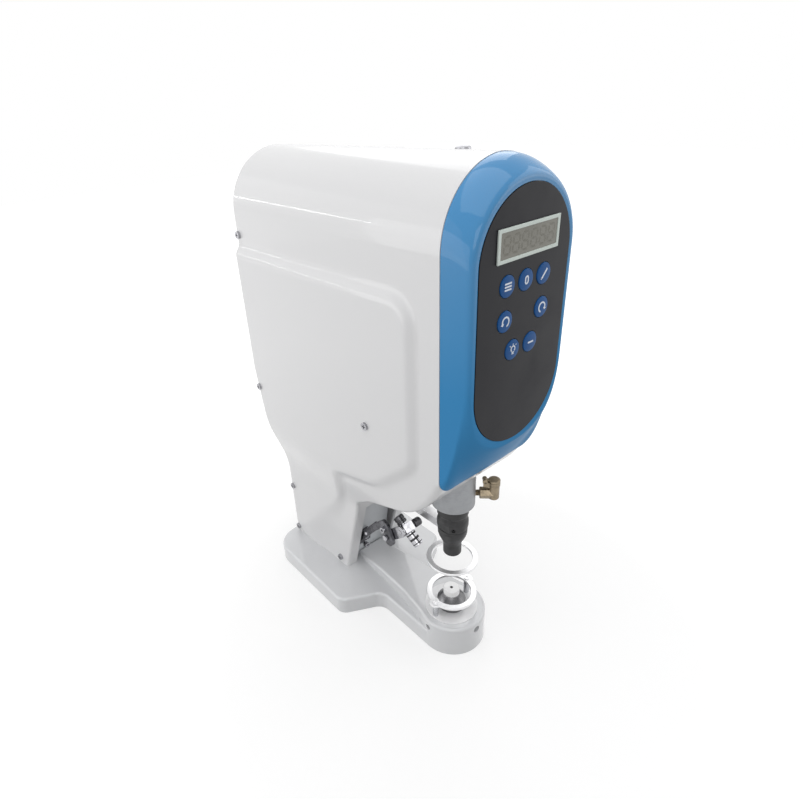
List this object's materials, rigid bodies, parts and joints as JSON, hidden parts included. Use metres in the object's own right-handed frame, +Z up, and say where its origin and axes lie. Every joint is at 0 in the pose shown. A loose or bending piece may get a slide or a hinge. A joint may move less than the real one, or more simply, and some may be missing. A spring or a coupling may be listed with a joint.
{
  "type": "snap button attaching machine",
  "caption": "Table-top servo press with a hooded C-frame, control panel, sliding punch over a die, finger guard rings, aiming lamp and oil cup.",
  "frame": {"origin": "on the table surface, under the axis of the punch and the die", "axes": "+X to the operator's right, -Y towards the operator, +Z up"},
  "size_m": [0.16, 0.3158, 0.4945],
  "materials": {
    "casing_white": "glossy white stove enamel",
    "casing_grey": "pale grey stove enamel",
    "base_paint": "satin pale grey paint on a casting",
    "frame_paint": "satin grey paint on a casting",
    "cover_blue": "glossy mid blue",
    "fascia_black": "smooth dark film",
    "bezel_pale": "pale printed frame",
    "display_smoke": "smoked display window",
    "key_blue": "embossed blue key",
    "board_green": "green circuit board",
    "bright_steel": "polished plated steel",
    "ground_steel": "ground steel",
    "housing_steel": "grey turned steel",
    "tool_steel": "turned tool steel",
    "black_steel": "blackened steel",
    "dark_steel": "dark steel plate",
    "black_screw": "black oxide screw",
    "screw_steel": "nickel plated screw",
    "lamp_chrome": "chrome",
    "bronze": "bronze bush",
    "oil_brass": "dull brass",
    "alloy": "milled alloy",
    "motor_black": "black anodised motor",
    "black_plastic": "black moulded plastic"
  },
  "bodies": {
    "root": {"base": "base_paint", "die_plate": "bright_steel", "lower_die": "tool_steel", "die_set_screws": "black_screw", "lower_ring": "bright_steel", "ring_posts": "bright_steel", "ring_screws": "screw_steel", "frame": "frame_paint", "frame_bolts": "black_screw", "ram_housing": "housing_steel", "lower_bush": "bronze", "upper_bush": "bronze", "screw_bearing": "ground_steel", "motor_mount": "alloy", "servo_motor": "motor_black", "guard_bush": "bronze", "oil_cup": "oil_brass", "lamp_bracket": "dark_steel", "lamp_bracket_screws": "lamp_chrome", "left_cover": "casing_white", "right_cover": "casing_white", "rear_panel": "casing_grey", "front_cover": "cover_blue", "fascia": "fascia_black", "display_bezel": "bezel_pale", "display_window": "display_smoke", "control_board": "board_green", "side_screws": "screw_steel", "crown_screw": "screw_steel", "servo_drive": "alloy", "power_inlet": "black_plastic", "power_switch": "black_plastic", "pedal_socket": "screw_steel"},
    "ram": {"ram": "ground_steel", "punch_holder": "black_steel", "punch": "black_steel", "punch_set_screw": "black_screw", "drive_nut": "ground_steel"},
    "screw": {"drive_screw": "ground_steel", "screw_coupling": "alloy", "motor_shaft": "ground_steel"},
    "guard": {"guard_ring": "bright_steel", "guard_arm": "bright_steel", "guard_rod": "ground_steel"},
    "oil_lid": {"oil_lid": "oil_brass"},
    "lamp_arm": {"lamp_arm": "lamp_chrome"},
    "lamp": {"lamp_clamp": "lamp_chrome", "lamp_tube": "lamp_chrome", "lamp_cap": "black_plastic"},
    "knob": {"clamp_knob": "black_plastic"},
    "rocker": {"power_rocker": "black_plastic"},
    "key_menu": {"key_menu": "key_blue"},
    "key_zero": {"key_zero": "key_blue"},
    "key_edit": {"key_edit": "key_blue"},
    "key_back": {"key_back": "key_blue"},
    "key_forward": {"key_forward": "key_blue"},
    "key_lamp": {"key_lamp": "key_blue"},
    "key_minus": {"key_minus": "key_blue"}
  },
  "joints": [
    {"name": "ram_slide", "type": "slide", "parent": "root", "child": "ram", "axis": [0, 0, -1], "range_m": [0, 0.045]},
    {"name": "screw_turn", "type": "hinge", "parent": "root", "child": "screw", "pos_m": [0, 0, 0.365], "axis": [0, 0, 1], "range_deg": [0, 1625]},
    {"name": "guard_slide", "type": "slide", "parent": "root", "child": "guard", "axis": [0, 0, -1], "range_m": [0, 0.04], "stiffness_N_per_m": 40, "springref_m": -0.05},
    {"name": "oil_lid_turn", "type": "hinge", "parent": "root", "child": "oil_lid", "pos_m": [0.02072, -0.02072, 0.2022], "axis": [-0.7071, -0.7071, 0], "range_deg": [0, 60]},
    {"name": "lamp_swing", "type": "hinge", "parent": "root", "child": "lamp_arm", "pos_m": [-0.02, 0.074, 0.097], "axis": [1, 0, 0], "range_deg": [-15, 15]},
    {"name": "lamp_tilt", "type": "hinge", "parent": "lamp_arm", "child": "lamp", "pos_m": [-0.01, 0.057, 0.112], "axis": [1, 0, 0], "range_deg": [-20, 20]},
    {"name": "knob_turn", "type": "hinge", "parent": "lamp", "child": "knob", "pos_m": [-0.01, 0.057, 0.112], "axis": [1, 0, 0], "range_deg": [0, 360]},
    {"name": "rocker_tilt", "type": "hinge", "parent": "root", "child": "rocker", "pos_m": [0, 0.233, 0.092], "axis": [1, 0, 0], "range_deg": [0, 16]},
    {"name": "key_menu_press", "type": "slide", "parent": "root", "child": "key_menu", "axis": [0, 1, 0], "range_m": [0, 0.0006], "stiffness_N_per_m": 800, "springref_m": -0.0004},
    {"name": "key_zero_press", "type": "slide", "parent": "root", "child": "key_zero", "axis": [0, 1, 0], "range_m": [0, 0.0006], "stiffness_N_per_m": 800, "springref_m": -0.0004},
    {"name": "key_edit_press", "type": "slide", "parent": "root", "child": "key_edit", "axis": [0, 1, 0], "range_m": [0, 0.0006], "stiffness_N_per_m": 800, "springref_m": -0.0004},
    {"name": "key_back_press", "type": "slide", "parent": "root", "child": "key_back", "axis": [0, 1, 0], "range_m": [0, 0.0006], "stiffness_N_per_m": 800, "springref_m": -0.0004},
    {"name": "key_forward_press", "type": "slide", "parent": "root", "child": "key_forward", "axis": [0, 1, 0], "range_m": [0, 0.0006], "stiffness_N_per_m": 800, "springref_m": -0.0004},
    {"name": "key_lamp_press", "type": "slide", "parent": "root", "child": "key_lamp", "axis": [0, 1, 0], "range_m": [0, 0.0006], "stiffness_N_per_m": 800, "springref_m": -0.0004},
    {"name": "key_minus_press", "type": "slide", "parent": "root", "child": "key_minus", "axis": [0, 1, 0], "range_m": [0, 0.0006], "stiffness_N_per_m": 800, "springref_m": -0.0004}
  ],
  "couplings": [
    {"joint": "screw_turn", "follows": "ram_slide", "rad_per_m": 628.32}
  ]
}
